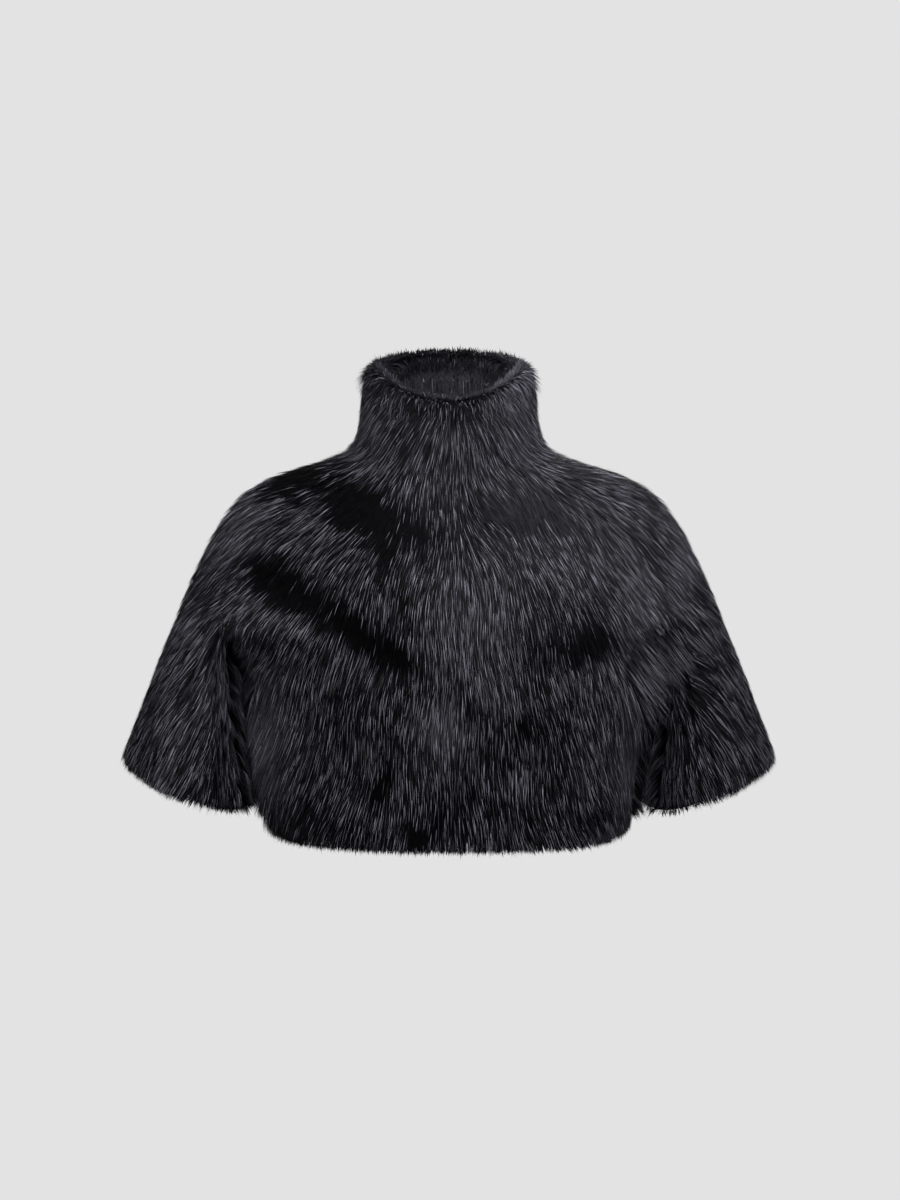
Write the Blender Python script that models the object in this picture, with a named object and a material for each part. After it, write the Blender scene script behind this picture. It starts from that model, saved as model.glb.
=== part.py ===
"""Cropped fur bolero: funnel collar, fronts closed edge to edge, wide elbow-length sleeves.

Every piece is a hollow wall, as thick as the backing and its lying pile together. +X is the
wearer's left, -Y the front and +Z up, with the origin at the middle of the neck, where the
wearer's neck and shoulders carry the garment.
"""

from collections import namedtuple
from math import asin, copysign, cos, exp, pi, sin

import bmesh
import bpy
from mathutils import Vector

# Driving dimensions, in metres
PILE_WALL = 0.010  # backing with its lying pile
FACING_WALL = 0.005  # shorter pile inside the collar
EDGE_CROWN = 0.004  # how far the pile rounds over a hem, cuff or rim
CLOSURE_X = 0.017  # the right front laps this far past the centre
SEAM_GAP = 0.0003
RING_SQUARENESS = 2.3  # 2 is an ellipse, more is boxier

# Mesh steps
FRONT_COLUMNS = 12  # from the closure to the shoulder or side seam
BACK_COLUMNS = 24
ROWS_BETWEEN_RINGS = 2
ARMHOLE_ROWS = 12  # from the shoulder seam down to the underarm
EASING_PASSES = 5
SHARPEST_SMOOTH_TURN = 0.9  # radians between faces that are still shaded as one surface

# Finish
BLACK_FUR = (0.013, 0.013, 0.015)
FUR_ROUGHNESS = 0.6

# Rings are listed downwards. The edge is the collar's side, the shoulder seam or the side seam.
Ring = namedtuple("Ring", "edge_x edge_y edge_z front_y front_z back_y back_z")

COLLAR_RINGS = (
    Ring(0.0800, -0.004, 0.084, -0.074, 0.051, 0.064, 0.097),  # rim
    Ring(0.0860, -0.002, 0.066, -0.078, 0.034, 0.069, 0.080),
    Ring(0.0875, 0.002, 0.040, -0.077, 0.011, 0.075, 0.052),
    Ring(0.0915, 0.006, 0.015, -0.073, -0.013, 0.083, 0.025),
    Ring(0.0965, 0.008, 0.003, -0.072, -0.026, 0.088, 0.012),  # neck seam
)
SHOULDER_RINGS = (
    COLLAR_RINGS[-1],
    Ring(0.108, 0.006, -0.008, -0.078, -0.038, 0.093, 0.001),
    Ring(0.149, 0.004, -0.019, -0.090, -0.062, 0.102, -0.024),
    Ring(0.184, 0.002, -0.032, -0.100, -0.084, 0.109, -0.048),
    Ring(0.211, 0.000, -0.050, -0.108, -0.104, 0.114, -0.071),  # shoulder point
    Ring(0.237, 0.000, -0.088, -0.117, -0.129, 0.120, -0.102),
    Ring(0.258, 0.000, -0.132, -0.124, -0.156, 0.124, -0.141),  # dropped sleeve seam
)
TORSO_RINGS = (
    Ring(0.207, 0.000, -0.208, -0.131, -0.214, 0.126, -0.212),  # underarm
    Ring(0.203, 0.000, -0.236, -0.132, -0.240, 0.126, -0.239),
    Ring(0.195, 0.000, -0.305, -0.132, -0.307, 0.127, -0.306),
    Ring(0.187, 0.000, -0.360, -0.131, -0.360, 0.128, -0.360),
    Ring(0.183, 0.000, -0.384, -0.130, -0.385, 0.127, -0.385),  # hem
)

# A sleeve ring runs from its outer point to its inner point, and lies front_drop lower at the front.
# The armhole is also cut in towards the chest by scoop and drawn to a point at both its ends.
SleeveRing = namedtuple(
    "SleeveRing", "outer_x outer_z inner_x inner_z front_y back_y front_drop scoop pointed"
)

SLEEVE_RINGS = (
    SleeveRing(0.2580, -0.132, 0.2070, -0.208, 0.082, 0.081, 0.000, 0.010, 1.00),  # armhole
    SleeveRing(0.2735, -0.172, 0.2080, -0.242, 0.087, 0.085, 0.001, 0.002, 0.25),
    SleeveRing(0.2905, -0.214, 0.2060, -0.276, 0.090, 0.088, 0.002, 0.000, 0.00),
    SleeveRing(0.3060, -0.254, 0.2020, -0.310, 0.092, 0.090, 0.004, 0.000, 0.00),
    SleeveRing(0.3205, -0.291, 0.1970, -0.342, 0.093, 0.091, 0.006, 0.000, 0.00),
    SleeveRing(0.3275, -0.309, 0.1930, -0.360, 0.091, 0.089, 0.006, 0.000, 0.00),  # cuff
)
ARMHOLE_TURN_LOSS = 0.42  # radians by which a panel's row stops short of the side at the armhole

# Soft folds, each a straight trough (depth below zero) or ridge seen from the front or the back.
Fold = namedtuple("Fold", "side start_x start_z end_x end_z width depth")
FRONT, BACK = -1, 1

FOLDS = (
    Fold(FRONT, -0.185, -0.120, -0.060, -0.200, 0.020, -0.006),
    Fold(FRONT, -0.205, -0.080, -0.050, -0.160, 0.020, 0.003),
    Fold(FRONT, -0.045, -0.055, -0.008, -0.105, 0.016, -0.004),
    Fold(FRONT, 0.045, -0.060, 0.145, -0.090, 0.024, -0.005),
    Fold(FRONT, 0.165, -0.104, 0.212, -0.122, 0.013, -0.004),
    Fold(FRONT, 0.070, -0.130, 0.190, -0.150, 0.018, 0.003),
    Fold(FRONT, 0.085, -0.206, 0.175, -0.186, 0.018, -0.006),
    Fold(FRONT, 0.030, -0.275, 0.062, -0.305, 0.015, -0.004),
    Fold(FRONT, -0.040, -0.350, -0.014, -0.380, 0.014, -0.003),
    Fold(FRONT, 0.214, -0.290, 0.206, -0.352, 0.014, -0.006),
    Fold(FRONT, -0.228, -0.215, -0.262, -0.262, 0.015, -0.004),
    Fold(BACK, -0.175, -0.150, -0.060, -0.215, 0.020, -0.005),
    Fold(BACK, 0.155, -0.110, 0.050, -0.175, 0.022, -0.005),
    Fold(BACK, 0.060, -0.250, 0.150, -0.290, 0.018, -0.004),
    Fold(BACK, -0.030, -0.060, -0.110, -0.085, 0.022, -0.004),
    Fold(BACK, 0.225, -0.230, 0.262, -0.280, 0.015, -0.004),
)

# Half a row of the body or collar: from the middle line out to the edge, by an angle of turn.
Arc = namedtuple("Arc", "middle edge turn")
Row = namedtuple("Row", "front back")

# A cut through a wall from its upper edge to its lower edge, with the crown of the free edge.
Column = namedtuple("Column", "outer inner bottom_crown top_crown")


def spline(before, start, end, after, share):
    """A number on a smooth curve from start to end."""
    bend = 2 * before - 5 * start + 4 * end - after
    twist = 3 * (start - end) + after - before
    return start + 0.5 * share * (end - before + share * (bend + share * twist))


def rings_between(rings, steps):
    """The rings, with steps - 1 more worked out between each pair."""
    found = []
    for index in range(len(rings) - 1):
        near = [rings[min(max(index + step, 0), len(rings) - 1)] for step in (-1, 0, 1, 2)]
        for step in range(steps):
            share = step / steps
            found.append(type(near[0])(*(spline(*sizes, share) for sizes in zip(*near))))
    return found + [rings[-1]]


def full_row(ring):
    """A row that turns all the way from the middle line to the shoulder or side."""
    edge = Vector((ring.edge_x, ring.edge_y, ring.edge_z))
    front = Arc(Vector((0, ring.front_y, ring.front_z)), edge, pi / 2)
    back = Arc(Vector((0, ring.back_y, ring.back_z)), edge, pi / 2)
    return Row(front, back)


def sleeve_point(ring, angle, side):
    """A point of the left sleeve: angle 0 is its outer point, pi its inner one."""
    outer = Vector((ring.outer_x, 0, ring.outer_z))
    inner = Vector((ring.inner_x, 0, ring.inner_z))
    along = cos(angle) + ring.pointed * (1 - 2 * angle / pi - cos(angle))
    point = (outer + inner) / 2 + (outer - inner) / 2 * along
    depth = ring.front_y if side == FRONT else ring.back_y
    point.y = side * depth * sin(angle)
    point.x -= ring.scoop * sin(angle) ** 2
    if side == FRONT:
        point.z -= ring.front_drop * sin(angle) ** 2
    return point


def armhole_rows():
    """Rows that stop at the armhole, between the sleeve seam's top and the underarm."""
    top, pit = full_row(SHOULDER_RINGS[-1]), full_row(TORSO_RINGS[0])
    rows = []
    for index in range(1, ARMHOLE_ROWS):
        share = index / ARMHOLE_ROWS
        turn = pi / 2 - ARMHOLE_TURN_LOSS * sin(pi * share)
        arcs = []
        for side, above, below in ((FRONT, top.front, pit.front), (BACK, top.back, pit.back)):
            edge = sleeve_point(SLEEVE_RINGS[0], pi * share, side)
            arcs.append(Arc(above.middle.lerp(below.middle, share), edge, turn))
        rows.append(Row(*arcs))
    return rows


def arc_point(arc, share):
    """A point of an arc: share 0 is its middle, 1 the wearer's left edge and -1 the right edge."""
    power = 2 / RING_SQUARENESS
    reach = abs(share) * arc.turn
    across = (sin(reach) / sin(arc.turn)) ** power
    end = max(cos(arc.turn), 0) ** power
    inward = (max(cos(reach), 0) ** power - end) / (1 - end)
    rise = share * share * (3 - 2 * abs(share))
    x = copysign(arc.edge.x * across, share)
    y = arc.edge.y + (arc.middle.y - arc.edge.y) * inward
    return Vector((x, y, arc.middle.z + (arc.edge.z - arc.middle.z) * rise))


def share_at_closure(arc):
    """The share at which an arc passes the closure line."""
    height = sin(arc.turn) * (CLOSURE_X / arc.edge.x) ** (RING_SQUARENESS / 2)
    return asin(height) / arc.turn


def stretch(arc, start, end, columns):
    """Points of an arc from one share to another, evenly by angle."""
    return [arc_point(arc, start + (end - start) * step / columns) for step in range(columns + 1)]


def eased(grid):
    """A panel's grid with its inner points drawn towards their neighbours, and its edges kept."""
    for _ in range(EASING_PASSES):
        drawn = [list(row) for row in grid]
        for row in range(1, len(grid) - 1):
            for column in range(1, len(grid[row]) - 1):
                beside = grid[row][column - 1] + grid[row][column + 1]
                above_below = grid[row - 1][column] + grid[row + 1][column]
                drawn[row][column] = grid[row][column] / 2 + (beside + above_below) / 8
        grid = drawn
    return grid


def front_right_row(row):
    """From the wearer's right side to the closure."""
    return stretch(row.front, -1, share_at_closure(row.front), FRONT_COLUMNS)


def front_left_row(row):
    """From the closure to the wearer's left side."""
    return stretch(row.front, share_at_closure(row.front), 1, FRONT_COLUMNS)


def back_row(row):
    """From the wearer's left side to the right."""
    return stretch(row.back, 1, -1, BACK_COLUMNS)


def collar_row(row):
    """From the closure all the way round the neck and back to the closure."""
    return front_left_row(row) + back_row(row)[1:] + front_right_row(row)[1:]


def left_sleeve_row(ring):
    """A sleeve ring from the underarm round by the front, seen anticlockwise from above."""
    angles = [pi * step / ARMHOLE_ROWS for step in range(ARMHOLE_ROWS + 1)]
    front = [sleeve_point(ring, angle, FRONT) for angle in reversed(angles)]
    back = [sleeve_point(ring, angle, BACK) for angle in angles]
    return front + back[1:]


def mirrored(row):
    """The wearer's right side of a row, still anticlockwise from above."""
    return [Vector((-point.x, point.y, point.z)) for point in reversed(row)]


def key(point):
    """A point rounded, so that the same seam point of two panels is found as one."""
    return tuple(round(value, 5) for value in point)


def welded_normals(grids):
    """Outward directions at every point of all the panels, shared where panels meet at a seam."""
    sums = {}
    for grid in grids:
        for upper, lower in zip(grid, grid[1:]):
            for column in range(len(upper) - 1):
                corners = upper[column], upper[column + 1], lower[column + 1], lower[column]
                normal = (corners[2] - corners[0]).cross(corners[1] - corners[3])
                for corner in corners:
                    sums[key(corner)] = sums.get(key(corner), Vector()) + normal
    for side in (-1, 1):
        underarm = TORSO_RINGS[0]
        sums[key((side * underarm.edge_x, underarm.edge_y, underarm.edge_z))] = Vector((0, 0, -1))
    return {place: total.normalized() for place, total in sums.items()}


def fold_height(point, normal):
    """How far the folds raise or sink the outer face at a point."""
    height = 0.0
    for fold in FOLDS:
        start = Vector((fold.start_x, fold.start_z))
        run = Vector((fold.end_x, fold.end_z)) - start
        place = Vector((point.x, point.z)) - start
        along = min(max(place.dot(run) / run.length_squared, 0), 1)
        distance = (place - along * run).length
        facing = max(fold.side * normal.y, 0)
        height += fold.depth * facing * exp(-((distance / fold.width) ** 2))
    return height


def crown(outer, outer_before, inner):
    """The middle of a rounded free edge, a little past its two faces."""
    return (outer + inner) / 2 + (outer - outer_before).normalized() * EDGE_CROWN


def wall_columns(grid, normals, outer_depth=0, inner_depth=PILE_WALL, crowned="bottom"):
    """For each column its outer points and inner points downwards, and the crown of its free edge."""
    columns = []
    for column in range(len(grid[0])):
        points = [row[column] for row in grid]
        ways = [normals[key(point)] for point in points]
        outer = [point - outer_depth * way for point, way in zip(points, ways)]
        inner = [point - inner_depth * way for point, way in zip(points, ways)]
        if outer_depth == 0:
            outer = [point + fold_height(point, way) * way for point, way in zip(points, ways)]
        if crowned == "bottom":
            edge = crown(outer[-1], outer[-2], inner[-1])
            columns.append(Column(outer, inner, [edge], []))
        else:
            edge = crown(outer[0], outer[1], inner[0])
            columns.append(Column(outer, inner, [], [edge]))
    return columns


def parted(columns):
    """The columns of a band, with its two ends moved a seam gap apart at the closure."""
    for column, way in ((columns[0], 1), (columns[-1], -1)):
        for points in column:
            for point in points:
                point.x += way * SEAM_GAP / 2
    return columns


def add_quad(mesh, *corners):
    """Two triangles that meet at the highest corner, so that both sides of a seam split alike."""
    highest = max(range(4), key=lambda index: corners[index].co.z)
    first, second, third, fourth = corners[highest:] + corners[:highest]
    mesh.faces.new((first, second, third))
    mesh.faces.new((first, third, fourth))


def cap_end(mesh, column, loop):
    """Closes a wall at its first or last column, whose vertices the loop gives."""
    rows = len(column.outer)
    outer = loop[:rows]
    bottom = loop[rows:rows + len(column.bottom_crown)]
    inner = loop[rows + len(bottom):2 * rows + len(bottom)][::-1]
    top = loop[2 * rows + len(bottom):]
    for row in range(rows - 1):
        add_quad(mesh, outer[row], outer[row + 1], inner[row + 1], inner[row])
    for vertex in bottom:
        mesh.faces.new((outer[-1], vertex, inner[-1]))
    for vertex in top:
        mesh.faces.new((outer[0], vertex, inner[0]))


def wall_mesh(columns, shift, closed):
    """A closed wall through its columns, joined in a tube or capped at both ends."""
    mesh = bmesh.new()
    loops = []
    for column in columns[:-1] if closed else columns:
        loop = column.outer + column.bottom_crown + column.inner[::-1] + column.top_crown
        loops.append([mesh.verts.new(point + shift) for point in loop])
    if closed:
        loops.append(loops[0])
    else:
        cap_end(mesh, columns[0], loops[0])
        cap_end(mesh, columns[-1], loops[-1])
    for first, second in zip(loops, loops[1:]):
        for index, following in enumerate([*range(1, len(first)), 0]):
            add_quad(mesh, first[index], first[following], second[following], second[index])
    bmesh.ops.recalc_face_normals(mesh, faces=mesh.faces)
    return mesh


def fur_material(name):
    material = bpy.data.materials.new(name)
    material.use_nodes = True
    shader = material.node_tree.nodes["Principled BSDF"]
    shader.inputs["Base Color"].default_value = (*BLACK_FUR, 1)
    shader.inputs["Roughness"].default_value = FUR_ROUGHNESS
    return material


def add_piece(name, columns, shift, closed=False):
    """One sewn piece: its wall, moved whole by a seam's gap away from its neighbours."""
    mesh = wall_mesh(columns, Vector(shift), closed)
    data = bpy.data.meshes.new(name)
    mesh.to_mesh(data)
    mesh.free()
    data.shade_smooth()
    data.set_sharp_from_angle(angle=SHARPEST_SMOOTH_TURN)
    data.materials.append(fur_material(name))
    bpy.context.scene.collection.objects.link(bpy.data.objects.new(name, data))


for old in list(bpy.data.objects):
    bpy.data.objects.remove(old)

shoulder_rows = [full_row(ring) for ring in rings_between(SHOULDER_RINGS, ROWS_BETWEEN_RINGS)]
torso_rows = [full_row(ring) for ring in rings_between(TORSO_RINGS, ROWS_BETWEEN_RINGS)]
body_rows = shoulder_rows + armhole_rows() + torso_rows
collar_rows = [full_row(ring) for ring in rings_between(COLLAR_RINGS, ROWS_BETWEEN_RINGS)]

front_right = eased([front_right_row(row) for row in body_rows])
front_left = eased([front_left_row(row) for row in body_rows])
back = eased([back_row(row) for row in body_rows])
collar = [collar_row(row) for row in collar_rows]
sleeve_left = [left_sleeve_row(ring) for ring in rings_between(SLEEVE_RINGS, ROWS_BETWEEN_RINGS)]
sleeve_right = [mirrored(row) for row in sleeve_left]
normals = welded_normals((front_right, front_left, back, collar, sleeve_left, sleeve_right))

# The fronts part at the closure and from the back, the sleeves hang clear of the armholes and the
# collar stands clear of the neck seam.
half_gap = SEAM_GAP / 2
add_piece("front_right", wall_columns(front_right, normals), (-half_gap, -half_gap, 0))
add_piece("front_left", wall_columns(front_left, normals), (half_gap, -half_gap, 0))
add_piece("back", wall_columns(back, normals), (0, half_gap, 0))

right_armhole_gap = (-2 * SEAM_GAP, 0, -SEAM_GAP)
left_armhole_gap = (2 * SEAM_GAP, 0, -SEAM_GAP)
add_piece("sleeve_right", wall_columns(sleeve_right, normals), right_armhole_gap, closed=True)
add_piece("sleeve_left", wall_columns(sleeve_left, normals), left_armhole_gap, closed=True)

neck_gap = (0, 0, 2 * SEAM_GAP)
add_piece("collar", parted(wall_columns(collar, normals, crowned="top")), neck_gap)

# The facing lines the collar from just under its rim to just above the neck seam.
facing_outside = PILE_WALL + SEAM_GAP
facing_inside = facing_outside + FACING_WALL
facing = wall_columns(collar[1:-1], normals, facing_outside, facing_inside, crowned="top")
add_piece("collar_facing", parted(facing), neck_gap)
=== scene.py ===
"""Black fur bolero: pelts sewn to a cropped, wide-sleeved shape, with their fur combed away from the neck."""

from collections import namedtuple
from math import cos, pi, radians, sin

import bmesh
import bpy
import numpy as np
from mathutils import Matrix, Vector, noise
from mathutils.bvhtree import BVHTree
from mathutils.kdtree import KDTree


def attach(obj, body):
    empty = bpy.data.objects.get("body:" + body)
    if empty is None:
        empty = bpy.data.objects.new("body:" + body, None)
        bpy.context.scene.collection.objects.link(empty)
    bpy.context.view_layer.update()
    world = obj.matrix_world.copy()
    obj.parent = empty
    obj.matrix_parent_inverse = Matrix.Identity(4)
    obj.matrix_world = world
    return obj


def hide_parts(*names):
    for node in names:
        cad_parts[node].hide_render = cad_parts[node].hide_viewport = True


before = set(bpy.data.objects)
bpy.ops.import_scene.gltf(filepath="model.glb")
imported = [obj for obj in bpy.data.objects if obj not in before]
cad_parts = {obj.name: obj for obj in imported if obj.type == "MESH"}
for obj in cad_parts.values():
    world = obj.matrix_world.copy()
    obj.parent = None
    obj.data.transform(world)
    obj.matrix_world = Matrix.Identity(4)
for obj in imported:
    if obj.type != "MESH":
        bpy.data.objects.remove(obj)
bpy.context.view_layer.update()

# Pelts
# Each panel is a dressed skin, cut to the panel's shape and sewn edge to edge to its neighbours with
# the fur outside. The skin lies at the roots of the pile, and its hem, cuffs and rim are set back so
# that the fur falls past them.
PILE_DEPTH = 0.0070
FACING_PILE_DEPTH = 0.0035
SKIN_THICKNESS = 0.0018
EDGE_SETBACK = 0.005
FACING_SETBACK = 0.0015
SHARP_EDGE = radians(38)
SEAM_REACH = 0.0015
SAME_POINT = 0.00005


def outer_face(node, side):
    """The face of a node's wall that lies furthest to a side, cut loose along its sharp edges."""
    skin = bmesh.new()
    skin.from_mesh(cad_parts[node].data)
    bmesh.ops.remove_doubles(skin, verts=skin.verts, dist=SAME_POINT)
    start = max(skin.faces, key=lambda face: side(face.calc_center_median()))
    kept, search = {start}, [start]
    while search:
        for edge in search.pop().edges:
            if edge.calc_face_angle(pi) < SHARP_EDGE:
                beyond = set(edge.link_faces) - kept
                kept |= beyond
                search += beyond
    bmesh.ops.delete(skin, geom=[face for face in skin.faces if face not in kept], context="FACES")
    skin.normal_update()
    return skin


skins = {
    "front_right": outer_face("front_right", lambda place: -place.y),
    "front_left": outer_face("front_left", lambda place: -place.y),
    "back": outer_face("back", lambda place: place.y),
    "sleeve_right": outer_face("sleeve_right", lambda place: -place.x),
    "sleeve_left": outer_face("sleeve_left", lambda place: place.x),
    "collar": outer_face("collar", lambda place: -place.y),
    "collar_facing": outer_face("collar_facing", lambda place: -place.xy.length),
}

# Panels that meet at a seam lean the same way there, so their skins stay edge to edge. An edge point
# with no other one beside it is on a free edge.
edge_points = [vert for skin in skins.values() for vert in skin.verts if vert.is_boundary]
seam_finder = KDTree(len(edge_points))
for index, vert in enumerate(edge_points):
    seam_finder.insert(vert.co, index)
seam_finder.balance()
seam_normals, free_points = {}, set()
for vert in edge_points:
    beside = [edge_points[index] for _, index, _ in seam_finder.find_range(vert.co, SEAM_REACH)]
    seam_normals[vert] = sum((other.normal for other in beside), Vector()).normalized()
    if len(beside) == 1:
        free_points.add(vert)


def set_back(vert):
    """The way of a free edge's point away from that edge."""
    inside = [edge.other_vert(vert).co for edge in vert.link_edges if not edge.is_boundary]
    if vert not in free_points or not inside:
        return Vector()
    return (sum(inside, Vector()) / len(inside) - vert.co).normalized()


def move_back(vert):
    """A seam's end goes with the point of the free edge beside it."""
    if vert in free_points or not vert.is_boundary:
        return set_back(vert)
    beside = [edge.other_vert(vert) for edge in vert.link_edges if edge.is_boundary]
    return sum((set_back(other) for other in beside), Vector())


for name, skin in skins.items():
    faced = name == "collar_facing"
    depth = FACING_PILE_DEPTH if faced else PILE_DEPTH
    back = FACING_SETBACK if faced else EDGE_SETBACK
    moves = [back * move_back(vert) - depth * seam_normals.get(vert, vert.normal) for vert in skin.verts]
    for vert, move in zip(skin.verts, moves):
        vert.co += move
    skin.normal_update()
    skin.verts.index_update()

# The inside of a pelt is dyed black with its fur, and sueded: a soft nap, worn a little unevenly.
skin_leather = bpy.data.materials.new("skin_leather")
skin_leather.use_nodes = True
nodes, links = skin_leather.node_tree.nodes, skin_leather.node_tree.links
leather_shader = nodes["Principled BSDF"]
leather_shader.inputs["Specular IOR Level"].default_value = 0.15
coordinates = nodes.new("ShaderNodeTexCoord")
blotches = nodes.new("ShaderNodeTexNoise")
blotches.inputs["Scale"].default_value = 35
blotches.inputs["Detail"].default_value = 4
nap = nodes.new("ShaderNodeTexNoise")
nap.inputs["Scale"].default_value = 900
nap.inputs["Detail"].default_value = 2
dye = nodes.new("ShaderNodeValToRGB")
dye.color_ramp.elements[0].position = 0.3
dye.color_ramp.elements[0].color = (0.004, 0.004, 0.005, 1)
dye.color_ramp.elements[1].position = 0.75
dye.color_ramp.elements[1].color = (0.011, 0.010, 0.012, 1)
wear = nodes.new("ShaderNodeMapRange")
wear.inputs["To Min"].default_value = 0.95
wear.inputs["To Max"].default_value = 0.75
nap_bump = nodes.new("ShaderNodeBump")
nap_bump.inputs["Strength"].default_value = 0.35
nap_bump.inputs["Distance"].default_value = 0.0004
links.new(coordinates.outputs["Object"], blotches.inputs["Vector"])
links.new(coordinates.outputs["Object"], nap.inputs["Vector"])
links.new(blotches.outputs["Fac"], dye.inputs["Fac"])
links.new(blotches.outputs["Fac"], wear.inputs["Value"])
links.new(dye.outputs["Color"], leather_shader.inputs["Base Color"])
links.new(wear.outputs["Result"], leather_shader.inputs["Roughness"])
links.new(nap.outputs["Fac"], nap_bump.inputs["Height"])
links.new(nap_bump.outputs["Normal"], leather_shader.inputs["Normal"])

# The collar's skin is folded over at its upper edge, so its rim is a soft roll.
RIM_RADIUS = 0.0024
ROLL_ANGLES = [radians(degrees) for degrees in (45, 90, 135, 180, 215)]
rim_edges = [
    edge for edge in skins["collar"].edges
    if edge.is_boundary and not free_points.isdisjoint(edge.verts)
]


def turn_over(shell, rim_points):
    """The collar's skin goes over the rim in a round roll, and down to the facing."""
    shell.verts.ensure_lookup_table()
    rim = {}
    for vert in (shell.verts[index] for index in rim_points):
        rim[vert] = (vert.co.copy(), vert.normal.copy())
    edges = [edge for edge in shell.edges if edge.is_boundary and rim.keys() >= set(edge.verts)]
    for angle in ROLL_ANGLES:
        origins = {tuple(vert.co): origin for vert, origin in rim.items()}
        made = bmesh.ops.extrude_edge_only(shell, edges=edges)["geom"]
        rim = {vert: origins[tuple(vert.co)] for vert in made if isinstance(vert, bmesh.types.BMVert)}
        made_edges = [edge for edge in made if isinstance(edge, bmesh.types.BMEdge)]
        edges = [edge for edge in made_edges if rim.keys() >= set(edge.verts)]
        for vert, (place, outward) in rim.items():
            upward = (Vector((0, 0, 1)) - outward * outward.z).normalized()
            vert.co = place + RIM_RADIUS * ((cos(angle) - 1) * outward + sin(angle) * upward)
    bmesh.ops.recalc_face_normals(shell, faces=shell.faces)
    shell.normal_update()


def add_pelt(name):
    """The thin leather shell of one panel, its outer side on the roots of the fur."""
    shell = skins[name].copy()
    if name == "collar":
        turn_over(shell, {vert.index for edge in rim_edges for vert in edge.verts})
    leaning = {tuple(vert.co): vert.normal.copy() for vert in shell.verts}
    made = bmesh.ops.extrude_face_region(shell, geom=shell.faces[:], use_keep_orig=True)
    for vert in (part for part in made["geom"] if isinstance(part, bmesh.types.BMVert)):
        vert.co -= leaning[tuple(vert.co)] * SKIN_THICKNESS
    bmesh.ops.recalc_face_normals(shell, faces=shell.faces)
    data = bpy.data.meshes.new("pelt_" + name)
    shell.to_mesh(data)
    shell.free()
    data.shade_smooth()
    data.materials.append(skin_leather)
    pelt = bpy.data.objects.new("pelt_" + name, data)
    bpy.context.scene.collection.objects.link(pelt)
    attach(pelt, "root")
    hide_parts(name)
    return pelt


pelts = {name: add_pelt(name) for name in skins}

# The lie of the fur
# The fur is combed away from the neck like a cape: it fans down from the front of the collar, runs
# out over the shoulders, and turns straight down towards the hem and the cuffs.
NECK = np.array((0.0, 0.0, 0.05))
COLLAR_WHORL = np.array((0.006, -0.07, 0.062))
DOWN = np.array((0.0, 0.0, -1.0))
FORWARD = np.array((0.0, -1.0, 0.0))
OVER_GROOVE = np.array((0.62, -0.05, -0.8))
OFF_BODY = np.array((0.5, 0.0, 0.0))
NO_LENGTH = 1e-9


def unit(vectors):
    return vectors / np.maximum(np.linalg.norm(vectors, axis=-1, keepdims=True), NO_LENGTH)


def along_skin(ways, normals):
    return ways - (ways * normals).sum(-1, keepdims=True) * normals


def window(values, start, end):
    """Goes smoothly from 0 at start to 1 at end."""
    share = np.clip((values - start) / (end - start), 0, 1)
    return share * share * (3 - 2 * share)


# The comb was drawn another way in places. It pulls the fur of the front sideways or down there, lifts
# it off the skin beside the groove under an arm, or holds it straight over the top of that groove.
Comb = namedtuple("Comb", "x z wide high sideways down lift held", defaults=(0.0,))
COMBED = (
    Comb(-0.160, -0.090, 0.070, 0.050, -0.40, 0.0, 0.0),
    Comb(0.110, -0.110, 0.060, 0.050, 0.0, 0.35, 0.0),
    Comb(0.042, -0.045, 0.022, 0.028, 0.60, 0.0, 0.0),
    Comb(0.034, -0.090, 0.020, 0.030, 0.35, 0.2, 0.0),
    Comb(-0.186, -0.262, 0.036, 0.075, -0.8, 0.0, 0.014),
    Comb(0.196, -0.205, 0.034, 0.066, 0.4, 0.0, 0.010),
    Comb(0.200, -0.198, 0.034, 0.038, 0.2, 0.0, 0.002, 1.7),
    Comb(0.222, -0.230, 0.018, 0.040, 1.3, 0.0, 0.0),
    Comb(-0.140, -0.345, 0.050, 0.045, -0.7, 0.0, 0.0),
    Comb(0.140, -0.365, 0.050, 0.040, 1.0, 0.0, 0.0),
)
BACK_TO_FRONT = (0.02, -0.03)
CHEST_TO_HEM = (-0.05, -0.38)
SIDE_TO_SLEEVE = (0.19, 0.25)
SHOULDER_TO_COLLAR = (-0.03, 0.005)
TURNED_TO_BODY = (-0.9, 0.5)
PAST_SIDE_SEAM = (0.15, 0.18)
FALL, FALL_AT_HEM = 0.15, 0.9
COLLAR_FAN, COLLAR_FALL = 0.8, 0.7
Swirl = namedtuple("Swirl", "size waves")
SWIRLS = (Swirl(0.10, np.array((31, 19, 47))), Swirl(0.07, np.array((83, 70, -61))))


def near_comb(comb, places):
    """How much a patch of combing counts at places, up to 1."""
    x, y, z = places.T[:, :, None]
    apart = ((x - comb.x) / comb.wide) ** 2 + ((z - comb.z) / comb.high) ** 2
    return window(y, *BACK_TO_FRONT) * np.exp(-apart)


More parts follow.
